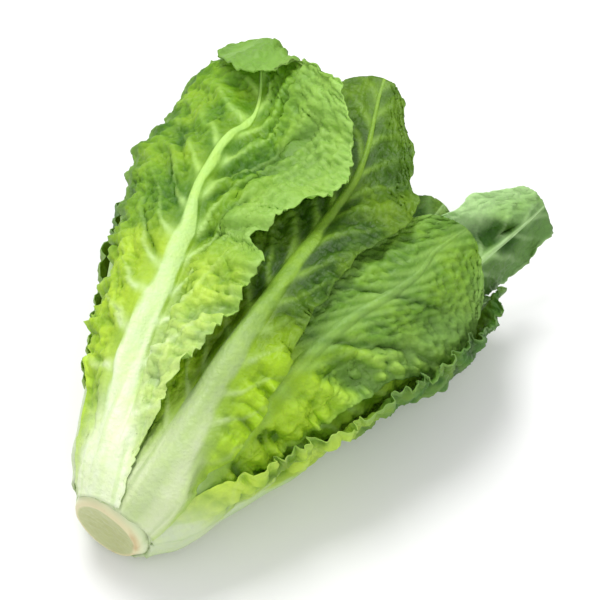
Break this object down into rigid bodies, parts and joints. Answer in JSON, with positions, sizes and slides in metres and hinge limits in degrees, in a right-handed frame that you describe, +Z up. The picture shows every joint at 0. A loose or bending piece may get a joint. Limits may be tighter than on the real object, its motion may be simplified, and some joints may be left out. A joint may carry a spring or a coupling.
{
  "type": "romaine lettuce head",
  "caption": "Whole head of romaine lettuce, cut at the stem and lying on its side, its ribbed and ruffled leaves fanning towards their tips.",
  "frame": {"origin": "middle of the head's outline, on the surface that it lies on", "axes": "+Y from the cut face of the stem to the leaf tips, +Z up"},
  "size_m": [0.2338, 0.288, 0.1193],
  "materials": {
    "stem": "moist cut stem tissue",
    "outer_leaf": "waxy leaf, pale midrib",
    "inner_leaf": "tender paler leaf",
    "heart_leaf": "pale yellow-green young leaf"
  },
  "bodies": {
    "root": {"stem_core": "stem", "heart_leaf_1": "heart_leaf", "heart_leaf_2": "heart_leaf", "heart_leaf_3": "heart_leaf", "heart_leaf_4": "heart_leaf", "inner_leaf_1": "inner_leaf", "inner_leaf_2": "inner_leaf", "inner_leaf_3": "inner_leaf", "inner_leaf_4": "inner_leaf", "inner_leaf_5": "inner_leaf", "inner_leaf_6": "inner_leaf", "leaf_low_left": "outer_leaf", "leaf_right_tip": "outer_leaf", "leaf_left_edge": "outer_leaf", "leaf_under_right": "outer_leaf", "leaf_under_left": "outer_leaf", "leaf_low_right": "outer_leaf", "leaf_upper_right": "outer_leaf", "leaf_under": "outer_leaf", "leaf_right_edge": "outer_leaf", "leaf_top": "outer_leaf", "leaf_upper_left": "outer_leaf"}
  },
  "joints": []
}
